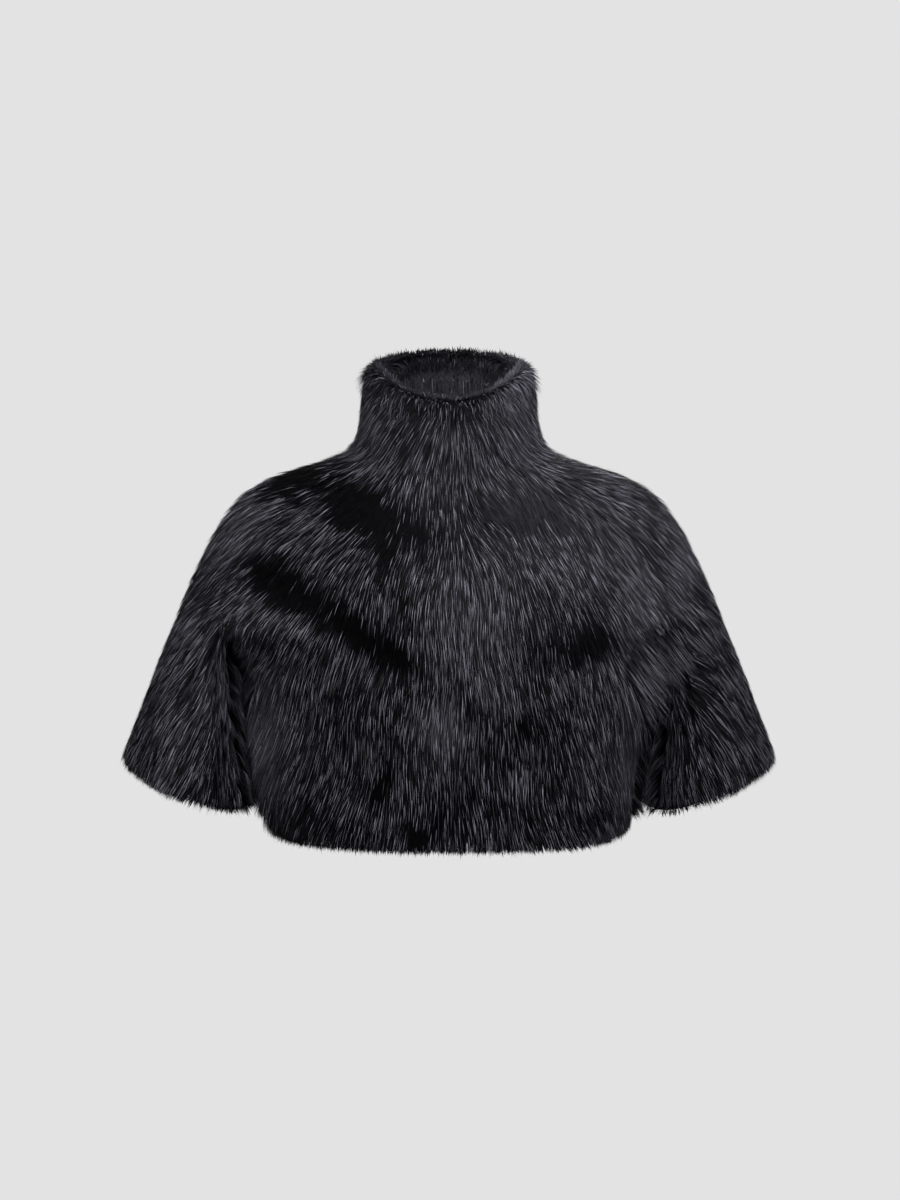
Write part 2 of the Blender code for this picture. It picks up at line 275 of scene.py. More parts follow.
def combed(places, normals):
    """The way the fur lies at places on the skin."""
    x, _, z = places.T[:, :, None]
    side = np.sign(x)
    low = window(z, *CHEST_TO_HEM)
    sleeve = window(np.abs(x), *SIDE_TO_SLEEVE)
    ways = unit(places - NECK) + DOWN * (FALL + FALL_AT_HEM * low * (1 - sleeve))
    on_collar = window(z, *SHOULDER_TO_COLLAR)
    fan = unit(places - COLLAR_WHORL) * COLLAR_FAN + DOWN * COLLAR_FALL
    ways = ways * (1 - on_collar) + fan * on_collar
    inner = window(-normals[:, :1] * side, *TURNED_TO_BODY) * window(np.abs(x), *PAST_SIDE_SEAM)
    ways = ways * (1 - inner) + (DOWN + side * OFF_BODY) * inner
    for comb in COMBED:
        ways = ways + near_comb(comb, places) * np.array((comb.sideways, 0, -comb.down))
    ways = unit(along_skin(ways, normals))
    swirl = sum(swirl.size * np.sin(places @ swirl.waves) for swirl in SWIRLS)[:, None]
    return unit(ways + swirl * np.cross(normals, ways))


# Under the arms the furs of the body and of a sleeve face each other across a narrow groove, and each
# fills half of it.
UNDERARM_Z = -0.16
WIDEST_GROOVE = 0.045
FURS_MEET = 0.002
LEAST_PILE = 0.003
FACE_TO_FACE = -0.2
DROP_STEP = 0.006
DROP_STEPS = 4
coat_points, coat_faces = [], []
for name, skin in skins.items():
    if name != "collar_facing":
        start = len(coat_points)
        coat_points += [vert.co.copy() for vert in skin.verts]
        coat_faces += [[start + vert.index for vert in face.verts] for face in skin.faces]
coat_skin = BVHTree.FromPolygons(coat_points, coat_faces)


def scatter(skin, count, random):
    """Random places all over a skin, with the way it faces there."""
    triangles = skin.calc_loop_triangles()
    corners = np.array([[loop.vert.co for loop in loops] for loops in triangles])
    facing = np.array([
        [seam_normals.get(loop.vert, loop.vert.normal) for loop in loops] for loops in triangles
    ])
    sides = corners[:, 1:] - corners[:, :1]
    areas = np.linalg.norm(np.cross(sides[:, 0], sides[:, 1]), axis=1)
    chosen = random.choice(len(areas), count, p=areas / areas.sum())
    shares = random.random((count, 2))
    shares = np.where(shares.sum(1, keepdims=True) > 1, 1 - shares, shares)
    weights = np.column_stack((1 - shares.sum(1), shares))[:, :, None]
    return (corners[chosen] * weights).sum(1), unit((facing[chosen] * weights).sum(1))


def furs_between(roots, normals, height):
    """The pile's height at each root, and how far down from there it has another fur opposite."""
    heights, drops = np.full(len(roots), height), np.zeros(len(roots))
    down = unit(along_skin(np.tile(DOWN, (len(roots), 1)), normals))
    for index in np.flatnonzero(roots[:, 2] < UNDERARM_Z):
        way = Vector(normals[index])
        for step in range(DROP_STEPS):
            start = Vector(roots[index] + FURS_MEET * normals[index] + step * DROP_STEP * down[index])
            hit, facing, _, distance = coat_skin.ray_cast(start, way, WIDEST_GROOVE)
            if not hit or facing.dot(way) > FACE_TO_FACE:
                break
            if step == 0:
                heights[index] = max(distance / 2 + FURS_MEET, LEAST_PILE)
            drops[index] += DROP_STEP
    return heights, drops


# Guide hairs set the run of the fur. They curve up from the skin and follow it, and end a little past
# the hem and the cuffs. Fur that is lifted beside a groove is longer, and straight.
HAIR_LENGTH = 0.031
PILE_HEIGHT = 0.0075
LENGTH_SPREAD = (0.85, 1.15)
HEIGHT_SPREAD = (0.85, 1.1)
GUIDE_POINTS = 6
GUIDE_SPACING = 0.005
STRAIGHT_LIFT = 0.006
STRAIGHT_IS_LONGER = 0.75
UNDERARM_EASE = 0.02
BELOW_UNDERARM = (UNDERARM_Z + UNDERARM_EASE, UNDERARM_Z - UNDERARM_EASE)
FACES_OUT = (-0.1, 0.1)
SAME_SKIN = 0.2
RISE_CURVE = 1.9
KEEPS_ITS_WAY = 0.6
HANG_PAST_EDGE = 0.0055
HANG_IN_GROOVE = 0.009
CORNER_SHORTER = 0.007
CORNER_X = (0.145, 0.19)
CORNER_Z = -0.33
ABOVE_GROOVE_END = (-0.30, -0.27)
SHORTEST_SHARE = 0.2
Guides = namedtuple("Guides", "points normals lengths limits shut_in finder")


def guide_hairs(skin, random):
    """Sparse hairs that follow the skin the way it is combed. The rest of the fur lies beside them."""
    area = sum(face.calc_area() for face in skin.faces)
    count = int(area / GUIDE_SPACING ** 2)
    roots, normals = scatter(skin, count, random)
    lengths = HAIR_LENGTH * random.uniform(*LENGTH_SPREAD, count)
    heights, drops = furs_between(roots, normals, PILE_HEIGHT)
    shut_in = (drops > 0).astype(float)
    lifts = sum(comb.lift * near_comb(comb, roots) for comb in COMBED)
    lifts = lifts * (1 - shut_in[:, None]) * window(roots[:, 2:], *BELOW_UNDERARM)
    straight = np.clip(lifts / STRAIGHT_LIFT, 0, 1)
    straight = straight * window(normals[:, :1] * np.sign(roots[:, :1]), *FACES_OUT)
    heights = (heights + lifts[:, 0]) * random.uniform(*HEIGHT_SPREAD, count)
    lengths = lengths * (1 + STRAIGHT_IS_LONGER * straight[:, 0])
    held = sum(comb.held * near_comb(comb, roots) for comb in COMBED).clip(0, 1) * straight
    way = unit(combed(roots, normals) * (1 - held) + OVER_GROOVE * held)
    normals = unit(normals * (1 - held) + FORWARD * held)
    base, under = roots, roots
    points, facing = [roots], [normals]
    for step in range(1, GUIDE_POINTS):
        share = step / (GUIDE_POINTS - 1)
        ahead = base + way * (lengths / (GUIDE_POINTS - 1))[:, None]
        hits = [coat_skin.find_nearest(place) for place in ahead]
        leaning = np.array([hit[1] for hit in hits])
        same_skin = (leaning * normals).sum(1, keepdims=True) > SAME_SKIN
        under = np.where(same_skin, np.array([hit[0] for hit in hits]), under)
        leaning = np.where(same_skin, leaning, normals)
        past = along_skin(ahead - under, leaning)
        base = (under + past) * (1 - straight) + ahead * straight
        normals = unit(normals + leaning * (1 - straight))
        rise = heights * (1 - (1 - share) ** RISE_CURVE)
        points.append(base + normals * rise[:, None])
        facing.append(normals)
        turned = KEEPS_ITS_WAY * way + (1 - KEEPS_ITS_WAY) * combed(base, normals)
        turned = unit(along_skin(turned, normals))
        way = unit(turned * (1 - held) + way * held)
    low_corner = window(np.abs(roots[:, 0]), *CORNER_X) * (roots[:, 2] < CORNER_Z)
    hang = HANG_PAST_EDGE - CORNER_SHORTER * low_corner
    across_groove = straight[:, 0] * window(roots[:, 2], *ABOVE_GROOVE_END)
    over = np.maximum(np.linalg.norm(past, axis=1) - hang, 0) * (1 - across_groove)
    opens_below = (drops > 0) & (drops < DROP_STEP * DROP_STEPS)
    in_groove = np.where(opens_below, drops + HANG_IN_GROOVE, lengths)
    limits = np.clip(np.minimum(1 - over / lengths, in_groove / lengths), SHORTEST_SHARE, 1)
    finder = KDTree(count)
    for index, root in enumerate(roots):
        finder.insert(root, index)
    finder.balance()
    return Guides(np.stack(points, 1), np.stack(facing, 1), lengths, limits, shut_in, finder)


# Underfur and guard hair
# Soft dense underfur covers the skin, and longer, stiffer guard hairs lie over it. Every hair is a
# flat spindle from its root to its tip, rounded in the light by its normals.
HAIR_UV = "OFBake"
# The fur's own colour is the near black at the dark end of the tone ramp. The light end is the grey of the
# brightest painted sheen, and towards its root a hair is painted darker, as in shade.
HAIR_DARK = (0.0008, 0.0008, 0.0012, 1)
HAIR_LIGHT = (0.48, 0.466, 0.565, 1)
ROOT_SHADED_TONE = 0.1
fur_colour = bpy.data.node_groups.new("fur_colour", "ShaderNodeTree")
for label, kind in (("UV", "Vector"), ("Dark Below", "Float"), ("Light Above", "Float")):
    fur_colour.interface.new_socket(label, in_out="INPUT", socket_type="NodeSocket" + kind)
fur_colour.interface.new_socket("Color", in_out="OUTPUT", socket_type="NodeSocketColor")
nodes, links = fur_colour.nodes, fur_colour.links
given = nodes.new("NodeGroupInput")
shown = nodes.new("NodeGroupOutput")
tone_and_share = nodes.new("ShaderNodeSeparateXYZ")
lit_share = nodes.new("ShaderNodeMapRange")
lit_share.interpolation_type = "SMOOTHSTEP"
lit_share.inputs["To Min"].default_value = ROOT_SHADED_TONE
lit_tone = nodes.new("ShaderNodeMath")
lit_tone.operation = "MULTIPLY"
ramp = nodes.new("ShaderNodeValToRGB")
ramp.color_ramp.elements[0].color = HAIR_DARK
ramp.color_ramp.elements[1].color = HAIR_LIGHT
links.new(given.outputs["UV"], tone_and_share.inputs[0])
links.new(tone_and_share.outputs["Y"], lit_share.inputs["Value"])
links.new(given.outputs["Dark Below"], lit_share.inputs["From Min"])
links.new(given.outputs["Light Above"], lit_share.inputs["From Max"])
links.new(tone_and_share.outputs["X"], lit_tone.inputs[0])
links.new(lit_share.outputs["Result"], lit_tone.inputs[1])
links.new(lit_tone.outputs[0], ramp.inputs["Fac"])
links.new(ramp.outputs["Color"], shown.inputs["Color"])


def hair_material(name, dark_below, light_above, roughness, gloss):
    """Black fur: u gives a hair's tone, painted sheen included, and v runs along it, from a root painted dark
    as shade to its lit upper part.
    """
    material = bpy.data.materials.new(name)
    material.use_nodes = True
    nodes, links = material.node_tree.nodes, material.node_tree.links
    shader = nodes["Principled BSDF"]
    shader.inputs["Roughness"].default_value = roughness
    shader.inputs["Specular IOR Level"].default_value = gloss
    uv = nodes.new("ShaderNodeUVMap")
    uv.uv_map = HAIR_UV
    colour = nodes.new("ShaderNodeGroup")
    colour.node_tree = fur_colour
    colour.inputs["Dark Below"].default_value = dark_below
    colour.inputs["Light Above"].default_value = light_above
    links.new(uv.outputs["UV"], colour.inputs["UV"])
    links.new(colour.outputs["Color"], shader.inputs["Base Color"])
    return material


underfur_hair = hair_material(
    "underfur_hair", dark_below=0.1, light_above=0.5, roughness=0.65, gloss=0.02
)
guard_hair = hair_material(
    "guard_hair", dark_below=0.22, light_above=0.66, roughness=0.5, gloss=0.04
)

# A hair is widest at a share of its length. A coat has so many hairs to the square metre, each as long
# as a share of its guide, drawn towards it in a lock and straying a little.
Hair = namedtuple("Hair", "widest width material")
Coat = namedtuple("Coat", "hair per_area shortest longest clump stray")
UNDERFUR = Coat(
    Hair(widest=0.5, width=0.0013, material=underfur_hair),
    per_area=0.29e6, shortest=0.45, longest=0.8, clump=0.10, stray=0.0010,
)
GUARD = Coat(
    Hair(widest=0.6, width=0.0004, material=guard_hair),
    per_area=0.42e6, shortest=0.8, longest=1.0, clump=0.04, stray=0.0005,
)
UNDERFUR_SUNK = -0.0020
LIGHT_HAIR_LIFT = 0.0008
CLUMP_CURVE = 1.3
STRAY_CURVE = 1.5
END_SPREAD = 0.05
LEAST_REACH = 0.12
ROLL_SPREAD = 0.5
WIDTH_SPREAD = (0.7, 1.3)
ROUNDNESS = 0.7
SIDE_TONE = 0.012


def hairs_beside(guides, chosen, roots, coat, lift, random):
    """Spines of the hairs that lie beside their guides, and the way each point of them faces."""
    count = len(roots)
    offsets = roots - guides.points[chosen, 0]
    down = unit(guides.points[chosen, -1] - guides.points[chosen, -2])
    lower = (offsets * down).sum(1) / guides.lengths[chosen]
    ends = guides.limits[chosen] - np.where(guides.limits[chosen] < 1, lower, 0)
    ends = ends + random.normal(0, END_SPREAD, count)
    reach = np.minimum(random.uniform(coat.shortest, coat.longest, count), ends)
    reach = np.clip(reach, LEAST_REACH, 1)
    stray = random.normal(0, coat.stray, (count, 3))
    spines, normals = [], []
    for share in (0, coat.hair.widest, 1):
        spot = share * reach * (GUIDE_POINTS - 1)
        low = np.minimum(spot.astype(int), GUIDE_POINTS - 2)
        part = (spot - low)[:, None]
        middle = guides.points[chosen, low] * (1 - part) + guides.points[chosen, low + 1] * part
        facing = guides.normals[chosen, low] * (1 - part) + guides.normals[chosen, low + 1] * part
        beside = offsets * (1 - coat.clump * share ** CLUMP_CURVE) + stray * share ** STRAY_CURVE
        spines.append(middle + beside + facing * (lift * share)[:, None])
        normals.append(unit(facing))
    return np.stack(spines, 1), np.stack(normals, 1)


def hair_mesh(name, spines, normals, hair, tones, random):
    """One mesh of many hairs: each has its root, a point at either side where it is widest, and its tip."""
    count = len(spines)
    root, middle, tip = spines.swapaxes(0, 1)
    root_facing, middle_facing, tip_facing = normals.swapaxes(0, 1)
    across = unit(np.cross(unit(tip - root), middle_facing))
    roll = random.normal(0, ROLL_SPREAD, count)[:, None]
    across = unit(across * np.cos(roll) + middle_facing * np.sin(roll))
    half = across * (hair.width * random.uniform(*WIDTH_SPREAD, count) / 2)[:, None]
    rounded = ROUNDNESS * across
    places = (root, middle - half, middle + half, tip)
    facing = (root_facing, unit(middle_facing - rounded), unit(middle_facing + rounded), tip_facing)
    us = np.stack((tones, tones - SIDE_TONE, tones + SIDE_TONE, tones), 1)
    vs = np.tile((0, hair.widest, hair.widest, 1), (count, 1))
    uvs = np.stack((us, vs), -1).reshape(-1, 2)
    spindle = np.array(((0, 2, 1), (1, 2, 3)))
    corners = (spindle + len(places) * np.arange(count)[:, None, None]).reshape(-1)
    data = bpy.data.meshes.new(name)
    data.vertices.add(len(places) * count)
    data.vertices.foreach_set("co", np.stack(places, 1).ravel())
    data.loops.add(len(corners))
    data.loops.foreach_set("vertex_index", corners.astype(np.int32))
    data.polygons.add(len(corners) // 3)
    data.polygons.foreach_set("loop_start", np.arange(0, len(corners), 3, dtype=np.int32))
    data.update()
    data.shade_smooth()
    data.uv_layers.new(name=HAIR_UV).data.foreach_set("uv", uvs[corners].ravel())
    data.normals_split_custom_set_from_vertices(np.stack(facing, 1).reshape(-1, 3))
    data.materials.append(hair.material)
    fur = bpy.data.objects.new(name, data)
    bpy.context.scene.collection.objects.link(fur)
    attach(fur, "root")
    return fur


# Where the fur turns from the light it looks darker, and where it turns to it lighter, and the patches
# paint that in: painted shade and painted sheen, laid over the fur by place. Strokes is the share of
# light guard hairs that a patch adds or takes, and base the tone that it adds to the others. All over
# the fur, small locks are also lighter or darker at random.
Patch = namedtuple("Patch", "x z wide high tilt strokes base")
SHEEN_AND_SHADE_PATCHES = (
    Patch(-0.165, -0.127, 0.040, 0.020, 0.56, -1.8, -0.01),
    Patch(-0.112, -0.161, 0.040, 0.018, 0.56, -1.6, -0.01),
    Patch(-0.058, -0.195, 0.038, 0.016, 0.56, -1.4, -0.01),
    Patch(-0.095, -0.052, 0.060, 0.024, 0.47, -1.0, -0.006),
    Patch(-0.148, -0.024, 0.034, 0.014, -0.4, -1.6, -0.01),
    Patch(-0.095, -0.055, 0.017, 0.020, 0.0, -1.6, -0.01),
    Patch(-0.064, -0.097, 0.009, 0.022, 0.0, -1.3, -0.01),
    Patch(-0.045, -0.147, 0.010, 0.022, 0.0, -1.2, -0.01),
    Patch(-0.035, -0.075, 0.034, 0.024, 0.2, -1.0, 0.0),
    Patch(-0.040, 0.020, 0.018, 0.026, 0.0, -1.0, 0.0),
    Patch(-0.080, 0.025, 0.016, 0.030, 0.0, 0.9, 0.02),
    Patch(0.082, -0.062, 0.055, 0.028, 0.0, -1.7, 0.02),
    Patch(0.128, -0.025, 0.014, 0.010, 0.3, -1.3, 0.01),
    Patch(0.195, -0.095, 0.022, 0.015, 0.3, -0.6, 0.01),
    Patch(0.130, -0.186, 0.042, 0.022, -0.15, -1.35, 0.010),
    Patch(0.060, -0.258, 0.050, 0.017, 0.25, -0.8, 0.0),
    Patch(-0.075, -0.262, 0.046, 0.038, 0.3, -0.5, -0.003),
    Patch(0.085, -0.288, 0.046, 0.036, 0.0, -0.4, -0.003),
    Patch(-0.063, -0.317, 0.008, 0.020, 0.0, -1.0, -0.01),
    Patch(-0.024, -0.378, 0.016, 0.024, 0.0, -0.8, 0.0),
    Patch(-0.145, -0.370, 0.036, 0.030, 0.0, -0.8, 0.01),
    Patch(-0.120, -0.100, 0.110, 0.026, 0.54, -0.1, -0.01),
    Patch(-0.215, -0.078, 0.040, 0.030, -0.6, 0.5, 0.04),
    Patch(-0.172, -0.240, 0.024, 0.040, 0.0, 0.3, 0.01),
    Patch(-0.238, -0.142, 0.022, 0.016, 0.0, -0.6, 0.0),
    Patch(0.030, -0.155, 0.045, 0.055, 0.0, 0.45, 0.02),
    Patch(0.188, -0.165, 0.017, 0.040, 0.0, 0.9, 0.05),
    Patch(0.180, -0.190, 0.016, 0.026, 0.0, 0.9, 0.06),
    Patch(0.232, -0.112, 0.022, 0.040, 0.3, 0.6, 0.08),
    Patch(0.140, -0.320, 0.035, 0.035, 0.0, 0.35, 0.01),
    Patch(0.072, 0.035, 0.016, 0.045, 0.0, 0.6, 0.09),
    Patch(0.120, -0.115, 0.030, 0.018, 0.3, 0.7, 0.0),
    Patch(0.185, -0.142, 0.022, 0.022, 0.0, 0.6, 0.0),
    Patch(0.235, -0.105, 0.020, 0.016, 0.4, 0.5, 0.0),
    Patch(0.178, -0.226, 0.024, 0.016, 0.8, 0.6, 0.0),
    Patch(0.045, -0.240, 0.016, 0.018, 0.0, 0.9, 0.02),
    Patch(0.073, -0.318, 0.016, 0.022, 0.5, 0.5, 0.0),
    Patch(-0.006, -0.264, 0.018, 0.022, 0.0, 1.4, 0.05),
    Patch(0.130, -0.040, 0.120, 0.085, 0.3, 0.3, 0.05),
    Patch(0.000, 0.025, 0.090, 0.055, 0.0, 0.55, 0.03),
    Patch(-0.184, -0.295, 0.022, 0.050, 0.0, -0.3, 0.13),
    Patch(0.182, -0.318, 0.018, 0.050, 0.0, -0.4, 0.16),
    Patch(0.180, -0.225, 0.036, 0.040, 0.6, 0.8, 0.03),
    Patch(-0.265, -0.245, 0.055, 0.110, 0.5, 0.1, 0.010),
    Patch(0.265, -0.245, 0.055, 0.110, -0.5, -0.05, 0.004),
    Patch(0.0, -0.355, 0.190, 0.045, 0.0, -0.5, -0.003),
    Patch(0.216, -0.225, 0.018, 0.045, 0.0, -0.3, 0.0),
    Patch(-0.214, -0.235, 0.018, 0.045, 0.0, 0.4, 0.08),
)
RAGGED = 0.010
RAGGED_SIZE = 0.022
ELSEWHERE = 1
PATCH_EDGE = 1.2
BROAD_LOCKS, FINE_LOCKS = 0.030, 0.011
BROAD_CONTRAST, FINE_CONTRAST = 0.8, 0.25
LESS_IN_FRONT = 0.35
FRONT_AT_SIDES, FRONT_PER_TURN = 0.5, 1.5


def cloudy(places, size):
    """Soft random patches of about a size, from -1 to 1."""
    return np.array([noise.noise(Vector(place) / size) for place in places])


def patched(places, normals):
    """How random locks and the patches' painted sheen and shade change the share of light hairs, and the
    others' tone.
    """
    front = np.clip(FRONT_AT_SIDES - FRONT_PER_TURN * normals[:, 1], 0, 1)
    contrast = BROAD_CONTRAST - LESS_IN_FRONT * front
    strokes = contrast * cloudy(places, BROAD_LOCKS) + FINE_CONTRAST * cloudy(places, FINE_LOCKS)
    base = np.zeros(len(places))
    ragged_x = places[:, 0] + RAGGED * cloudy(places, RAGGED_SIZE)
    ragged_z = places[:, 2] + RAGGED * cloudy(places + ELSEWHERE, RAGGED_SIZE)
    for patch in SHEEN_AND_SHADE_PATCHES:
        x, z = ragged_x - patch.x, ragged_z - patch.z
        across = (x * cos(patch.tilt) - z * sin(patch.tilt)) / patch.wide
        up = (x * sin(patch.tilt) + z * cos(patch.tilt)) / patch.high
        share = front * np.exp(-(across ** 2 + up ** 2) ** PATCH_EDGE)
        strokes += patch.strokes * share
        base += patch.base * share
    return strokes, base


# The light hairs are strokes of painted sheen. They lie clear of each other, so that each one shows as a
# stroke of its own.
STROKE_ROOM_ACROSS = 0.0014
STROKE_ROOM_ALONG = 0.0065


def clear_of_others(spots, ways, room):
    """Which hairs stay light when each clears the others from its room, a long ellipse along the fur."""
    finder = KDTree(len(spots))
    for index, spot in enumerate(spots):
        finder.insert(spot, index)
    finder.balance()
    clear = np.ones(len(spots), bool)
    for index, spot in enumerate(spots):
        if clear[index]:
            found = finder.find_range(spot, STROKE_ROOM_ALONG * room[index])
            later = np.array([other for _, other, _ in found if other > index], int)
            offsets = spots[later] - spot
            ahead = offsets @ ways[index]
            apart = np.linalg.norm(offsets - ahead[:, None] * ways[index], axis=1)
            distance = (apart / STROKE_ROOM_ACROSS) ** 2 + (ahead / STROKE_ROOM_ALONG) ** 2
            clear[later[distance < room[index] ** 2]] = False
    return clear


# Every panel gets its underfur and then its guard hair. Its light guard hairs are painted sheen, each a
# lit stroke in its tone. Shine is how many light hairs there are beside a guide, against the usual share.
# The other hairs are nearly black, with a faint painted sheen. Fur shut in a groove has fewer light
# hairs, a painted shade, and the others are painted lighter for it, to make up for the real shadow there.
FUR_SEED = 100
SEEN_POINT, FLOW_POINT = 3, 2
BASE_TONE = 0.005
DARKEST_TONE = 0.001
DARK_SPREAD = (0.2, 1.8)
SHEEN, SHEEN_CURVE = 0.022, 3
LEAST_LIGHT, LIGHT_RANGE, LIGHT_CURVE = 0.05, 0.86, 1.9
TONE_LIMITS = (0.0, 0.98)
SHUT_IN_PAINTED_LIGHT = 0.06
SHUT_IN_PAINTED_SHADE = 0.6
LEAST_SHINE, MOST_SHINE = 0.01, 2.2
WIDEST_ROOM_SHINE = 0.6
USUAL_LIGHT_SHARE = 0.8
for seed, (name, skin) in enumerate(skins.items()):
    if name == "collar_facing":
        continue
    random = np.random.default_rng(FUR_SEED + seed)
    area = sum(face.calc_area() for face in skin.faces)
    guides = guide_hairs(skin, random)
    strokes, base = patched(guides.points[:, SEEN_POINT], guides.normals[:, 0])
    shine = np.clip(1 + strokes, LEAST_SHINE, MOST_SHINE) * (1 - SHUT_IN_PAINTED_SHADE * guides.shut_in)
    room = 1 / np.sqrt(np.clip(shine, WIDEST_ROOM_SHINE, MOST_SHINE))
    flow = unit(guides.points[:, FLOW_POINT] - guides.points[:, 0])
    bases = np.maximum(BASE_TONE + base, DARKEST_TONE) + SHUT_IN_PAINTED_LIGHT * guides.shut_in
    for label, coat in (("underfur", UNDERFUR), ("guard", GUARD)):
        count = int(coat.per_area * area)
        roots, _ = scatter(skin, count, random)
        chosen = np.array([guides.finder.find(root)[1] for root in roots])
        light = np.zeros(count, bool)
        if label == "guard":
            share = USUAL_LIGHT_SHARE * np.minimum(shine[chosen], 1)
            tried = np.flatnonzero(random.random(count) < share)
            light[tried] = clear_of_others(roots[tried], flow[chosen[tried]], room[chosen[tried]])
        lift = np.where(light, LIGHT_HAIR_LIFT, UNDERFUR_SUNK * (label == "underfur"))
        spines, normals = hairs_beside(guides, chosen, roots, coat, lift, random)
        dark_tones = bases[chosen] * random.uniform(*DARK_SPREAD, count)
        dark_tones += SHEEN * shine[chosen] * random.random(count) ** SHEEN_CURVE
        light_tones = LEAST_LIGHT + LIGHT_RANGE * random.random(count) ** LIGHT_CURVE
        tones = np.clip(np.where(light, light_tones, dark_tones), *TONE_LIMITS)
        hair_mesh(label + "_" + name, spines, normals, coat.hair, tones, random)

# Collar facing and rim
# The collar is turned over at its rim and faced inside with the same fur, shorn short, with a few loose
# hairs on it. The rim itself stands up in a dense brush of cut hair.
COLLAR_SEED = 200
SHORN = Hair(widest=0.45, width=0.0010, material=underfur_hair)
SHORN_HAIRS = 26000
SHORN_LENGTHS = (0.005, 0.009)
SHORN_STRAY = 0.35
SHORN_MIDDLE = 0.5
SHORN_RISE, LOOSE_RISE = 0.0022, 0.0035
SHORN_TIPS, LOOSE_TIPS = (0.0025, 0.004), 0.0015
# The shorn pile is painted a dark grey, far lighter than the outer fur's dark hairs, as painted sheen, and
# the loose hairs lighter still, as painted glints.
SHORN_TONES, LOOSE_TONES = (0.085, 0.14), (0.35, 0.7)
LOOSE_SHARE = 0.005
random = np.random.default_rng(COLLAR_SEED)
count = SHORN_HAIRS
roots, normals = scatter(skins["collar_facing"], count, random)
way = unit(along_skin(DOWN + random.normal(0, SHORN_STRAY, (count, 3)), normals))
length = random.uniform(*SHORN_LENGTHS, (count, 1))
loose = random.random((count, 1)) < LOOSE_SHARE
way = np.where(loose, unit(along_skin(random.normal(0, 1, (count, 3)), normals)), way)
middle = roots + way * length * SHORN_MIDDLE + normals * np.where(loose, LOOSE_RISE, SHORN_RISE)
tips = roots + way * length + normals * (random.uniform(*SHORN_TIPS, (count, 1)) + LOOSE_TIPS * loose)
tones = np.where(loose[:, 0], random.uniform(*LOOSE_TONES, count), random.uniform(*SHORN_TONES, count))
spines, facing = np.stack((roots, middle, tips), 1), np.stack((normals,) * 3, 1)
hair_mesh("fur_collar_facing", spines, facing, SHORN, tones, random)

# Turn is a hair's place round the rim's roll: 0 on its top, below 0 inside and above 0 outside. The
# outer hairs are laid down over the collar, and the inner ones over its facing. The brush is higher at
# the sides of the neck. Its tones hold painted light: it is painted lighter on the side of the key
# light, and darker inside the roll, as shade, most of all on the key side. It is also lighter at the
# sides of the neck, darker at the back, and darker outside except on the key side. Its few light hairs
# are painted sheen.
RIM = Hair(widest=0.5, width=0.0010, material=underfur_hair)
RIM_HAIRS = 17000
RIM_TURNS = (-1.9, 2.1)
RIM_ROOTS_SUNK = 0.0012
TO_COLLAR_SIDES = (0.035, 0.062)
TO_KEY_SIDE = (0.02, 0.06)
TO_COLLAR_FRONT = (0.0, -0.04)
TO_COLLAR_BACK = (-0.02, 0.03)
TO_OUTSIDE, TO_INSIDE = (0.2, 1.0), (0.3, -0.5)
OUTER_HEIGHT, INNER_HEIGHT = 0.0070, 0.0055
INNER_SIDE_HEIGHT, SIDE_HEIGHT = 0.0045, 0.0035
RIM_HEIGHT_SPREAD = (0.8, 1.1)
LONG_SHARE, LONG_HEIGHT = 0.12, 1.35
OUTER_SHORTER, OUTER_SIDE_SHORTER = 0.35, 0.25
OUTER_LEAN, INNER_LEAN, LAID_LEAN = 0.0060, 0.0100, 0.0090
LAID_SPREAD = (0.2, 1.8)
MIDDLE_HEIGHT, MIDDLE_LEAN = 0.62, 0.35
TIP_STRAY = 0.0009
TOP_FACES_TIP, INSIDE_FACES_UP = 0.5, 0.8
RIM_TONE, BACK_DARKER = 0.06, 0.02
KEY_SIDE_LIGHTER, SIDES_LIGHTER = 0.11, 0.04
OUTER_DARKER = 0.6
INNER_PAINTED_SHADE, INNER_KEY_PAINTED_SHADE = 0.25, 0.3
RIM_LIGHT_SHARE, OUTER_LIGHT_SHARE = 0.03, 0.12
RIM_LIGHT_TONES = (0.12, 0.5)
RIM_TONE_SPREAD = (0.6, 1.4)
ends = np.array([[vert.co for vert in edge.verts] for edge in rim_edges])
facings = np.array([[vert.normal for vert in edge.verts] for edge in rim_edges])
lengths = np.linalg.norm(ends[:, 1] - ends[:, 0], axis=1)
count = RIM_HAIRS
chosen = random.choice(len(lengths), count, p=lengths / lengths.sum())
share = random.random((count, 1))
outward = unit(facings[chosen, 0] * (1 - share) + facings[chosen, 1] * share)
middle_line = ends[chosen, 0] * (1 - share) + ends[chosen, 1] * share - outward * RIM_RADIUS
upward = unit(along_skin(np.tile(-DOWN, (count, 1)), outward))
turn = random.uniform(*RIM_TURNS, (count, 1))
radial = np.cos(turn) * upward + np.sin(turn) * outward
combed_off = (np.cos(turn) * outward - np.sin(turn) * upward) * np.sign(turn)
roots = middle_line + radial * (RIM_RADIUS - RIM_ROOTS_SUNK)
sides = window(np.abs(roots[:, :1]), *TO_COLLAR_SIDES)
key_side = window(roots[:, :1], *TO_KEY_SIDE)
front = window(roots[:, 1:2], *TO_COLLAR_FRONT)
back = window(roots[:, 1:2], *TO_COLLAR_BACK)
outer = window(turn, *TO_OUTSIDE)
inner = window(turn, *TO_INSIDE)
height = np.where(turn > 0, OUTER_HEIGHT, INNER_HEIGHT + INNER_SIDE_HEIGHT * sides)
height *= random.uniform(*RIM_HEIGHT_SPREAD, (count, 1))
height *= np.where(random.random((count, 1)) < LONG_SHARE, LONG_HEIGHT, 1.0)
height += SIDE_HEIGHT * sides * np.cos(turn / 2)
height *= 1 - outer * (OUTER_SHORTER + OUTER_SIDE_SHORTER * sides)
